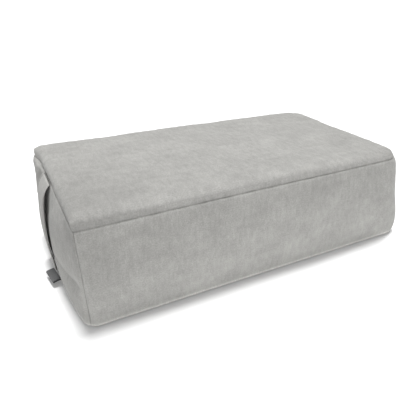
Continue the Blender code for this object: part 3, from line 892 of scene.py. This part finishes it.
def cloth_coordinates(tree, scale):
    """The cloth's own flat coordinates in metres, multiplied by scale along each direction."""
    source = tree.nodes.new("ShaderNodeUVMap")
    source.uv_map = "cloth"
    mapping = tree.nodes.new("ShaderNodeMapping")
    mapping.inputs["Scale"].default_value = scale
    tree.links.new(source.outputs["UV"], mapping.inputs["Vector"])
    return mapping.outputs["Vector"]


def noise(tree, vector, scale, detail=3.0, roughness=0.55):
    """Noise from 0 to 1 with the given number of bumps per unit of the vector."""
    node = tree.nodes.new("ShaderNodeTexNoise")
    node.inputs["Scale"].default_value = scale
    node.inputs["Detail"].default_value = detail
    node.inputs["Roughness"].default_value = roughness
    tree.links.new(vector, node.inputs["Vector"])
    return node.outputs["Fac"]


def mixed(tree, factor, low, high):
    """A value that goes from low to high as the factor goes from 0.3 to 0.7."""
    node = tree.nodes.new("ShaderNodeMapRange")
    node.inputs["From Min"].default_value = 0.3
    node.inputs["From Max"].default_value = 0.7
    node.inputs["To Min"].default_value = low
    node.inputs["To Max"].default_value = high
    tree.links.new(factor, node.inputs["Value"])
    return node.outputs["Result"]


def combined(tree, operation, first, second):
    """Two values, or a value and a number, joined by a math node."""
    node = tree.nodes.new("ShaderNodeMath")
    node.operation = operation
    for socket, value in zip(node.inputs, (first, second)):
        if isinstance(value, (int, float)):
            socket.default_value = value
        else:
            tree.links.new(value, socket)
    return node.outputs["Value"]


def attribute(tree, name):
    """A value stored on the mesh's points."""
    node = tree.nodes.new("ShaderNodeAttribute")
    node.attribute_name = name
    return node.outputs["Fac"]


def tinted(tree, shade, colour):
    """The colour multiplied by a shade."""
    tint = tree.nodes.new("ShaderNodeMix")
    tint.data_type = "RGBA"
    tint.blend_type = "MULTIPLY"
    tint.inputs["Factor"].default_value = 1.0
    tint.inputs["A"].default_value = (*colour, 1.0)
    tree.links.new(shade, tint.inputs["B"])
    return tint.outputs["Result"]


def bumped(tree, height, distance, strength):
    """A normal tilted by a height."""
    bump = tree.nodes.new("ShaderNodeBump")
    bump.inputs["Strength"].default_value = strength
    bump.inputs["Distance"].default_value = distance
    tree.links.new(height, bump.inputs["Height"])
    return bump.outputs["Normal"]


# %% Napped cloth of the cover and strap
PAINTED_SEAM_SHADE = 0.38              # painted shade: how much darker a sewn line is drawn, for the shade in its groove
COVER_COLOUR = (0.300, 0.297, 0.284)
STRAP_COLOUR = (0.29, 0.287, 0.275)


def napped_cloth(name, colour):
    """Short-napped cloth: patches, brushed streaks and speckle on the colour, and a fibre bump."""
    material, tree, shader = new_material(name)
    patch = mixed(tree, noise(tree, cloth_coordinates(tree, (1, 1, 1)), 16.0, 5.0, 0.65), 0.90, 1.10)
    streak = mixed(tree, noise(tree, cloth_coordinates(tree, (14, 70, 1)), 1.0, 4.0, 0.65), 0.95, 1.05)
    brushed = mixed(tree, noise(tree, cloth_coordinates(tree, (160, 60, 1)), 1.0, 4.0, 0.65), 0.90, 1.10)
    speckle = mixed(tree, noise(tree, cloth_coordinates(tree, (1, 1, 1)), 500.0, 2.0, 0.7), 0.86, 1.14)
    shade = combined(tree, "MULTIPLY", combined(tree, "MULTIPLY", patch, streak),
                     combined(tree, "MULTIPLY", brushed, speckle))
    # The colour is multiplied by painted shade along seams, stitching and the fine crease, and by the painted
    # light and shade stored as tone.
    thread = combined(tree, "MULTIPLY", attribute(tree, "painted_shade_of_sewn_lines"), PAINTED_SEAM_SHADE)
    seam_shade_factor = combined(tree, "SUBTRACT", 1.0, thread)
    painted_light_and_tone = combined(tree, "ADD", 1.0, attribute(tree, "tone_with_painted_light"))
    shade = combined(tree, "MULTIPLY", shade, combined(tree, "MULTIPLY", seam_shade_factor, painted_light_and_tone))
    tree.links.new(tinted(tree, shade, colour), shader.inputs["Base Color"])
    fibre = noise(tree, cloth_coordinates(tree, (1, 1, 1)), 1400.0, 2.0, 0.6)
    lay = noise(tree, cloth_coordinates(tree, (220, 90, 1)), 1.0, 3.0, 0.6)
    tree.links.new(bumped(tree, combined(tree, "ADD", fibre, lay), 0.0006, 0.5), shader.inputs["Normal"])
    shader.inputs["Roughness"].default_value = 0.95
    shader.inputs["Specular IOR Level"].default_value = 0.25
    shader.inputs["Sheen Weight"].default_value = 0.08
    shader.inputs["Sheen Roughness"].default_value = 0.5
    return material


cover.data.materials.append(napped_cloth("cover_cloth", COVER_COLOUR))
strap.data.materials.append(napped_cloth("strap_cloth", STRAP_COLOUR))
print("napped cloths:", cover.data.materials[0].name, strap.data.materials[0].name)

# %% [markdown]
# ## Woven tape
#
# The tag is a dark tape with fine ribs, where the cushion is soft and pale. Ribs could be modelled, but
# they are finer than half a millimetre, so a wave in the colour and in a small bump is enough.

# %% Woven tape of the tag
TAG_COLOUR = (0.095, 0.096, 0.097)


def woven_tape(name, colour):
    """Dark tape with fine ribs across it: a wave along the tape, broken up by noise."""
    material, tree, shader = new_material(name)
    ribs = tree.nodes.new("ShaderNodeTexWave")
    ribs.bands_direction = "Y"
    ribs.inputs["Scale"].default_value = 1.0
    ribs.inputs["Distortion"].default_value = 1.5
    tree.links.new(cloth_coordinates(tree, (400, 220, 1)), ribs.inputs["Vector"])
    thread = mixed(tree, noise(tree, cloth_coordinates(tree, (900, 300, 1)), 1.0, 3.0, 0.6), 0.75, 1.25)
    rib_shade = combined(tree, "ADD", 0.82, combined(tree, "MULTIPLY", ribs.outputs["Fac"], 0.36))
    shade = combined(tree, "MULTIPLY", thread, rib_shade)
    tree.links.new(tinted(tree, shade, colour), shader.inputs["Base Color"])
    tree.links.new(bumped(tree, ribs.outputs["Fac"], 0.0002, 0.6), shader.inputs["Normal"])
    shader.inputs["Roughness"].default_value = 0.8
    shader.inputs["Specular IOR Level"].default_value = 0.3
    return material


tag.data.materials.append(woven_tape("tag_weave", TAG_COLOUR))
print("woven tape:", tag.data.materials[0].name)

# %% [markdown]
# ## Studio
#
# The bolster lies on a plain white floor. The main light stands overhead, a little behind and to the right,
# so the floor just in front of the cushion and beside its left end lies in a soft, narrow shadow. That
# light alone would leave the upright walls dark, so a broad fill from the front and an even glow from all
# round lift them without lightening that shadow much.

# %% Floor
FLOOR_HALF = 30.0
FLOOR_WHITE = (0.80, 0.80, 0.80, 1.0)
FLOOR_DROP = 0.0002           # the floor lies this far under the cushion's base


def add_floor():
    """A flat white floor."""
    corners = np.array([(-1, -1, 0), (1, -1, 0), (1, 1, 0), (-1, 1, 0)]) * FLOOR_HALF
    floor = mesh_object("floor", corners - np.array([0, 0, FLOOR_DROP]), np.array([[0, 1, 2, 3]]))
    material, _, shader = new_material("floor_paper")
    shader.inputs["Base Color"].default_value = FLOOR_WHITE
    shader.inputs["Roughness"].default_value = 1.0
    shader.inputs["Specular IOR Level"].default_value = 0.0
    floor.data.materials.append(material)


# %% Lights
GLOW = 0.40                   # strength of the even light from all round
OVERHEAD = {"energy": 3.60, "angle": 13.0, "turn": (-6.0, 4.5, 0.0)}
FRONT_FILL = {"energy": 1.90, "angle": 60.0, "turn": (78.0, 0.0, -30.0)}


def add_sun(name, energy, angle, turn):
    """A sun seen as a wide disc, whose angle in degrees sets how soft its shadows are."""
    data = bpy.data.lights.new(name, "SUN")
    data.energy = energy
    data.angle = np.radians(angle)
    sun = bpy.data.objects.new(name, data)
    sun.rotation_euler = np.radians(turn)
    bpy.context.scene.collection.objects.link(sun)


def add_world(strength):
    """An even white glow from all round."""
    world = bpy.data.worlds.new("studio")
    world.use_nodes = True
    background = world.node_tree.nodes["Background"]
    background.inputs["Color"].default_value = (1.0, 1.0, 1.0, 1.0)
    background.inputs["Strength"].default_value = strength
    bpy.context.scene.world = world


add_camera(shift_x)
add_floor()
add_world(GLOW)
add_sun("overhead", **OVERHEAD)
add_sun("front_fill", **FRONT_FILL)
bpy.context.scene.view_settings.view_transform = "Standard"
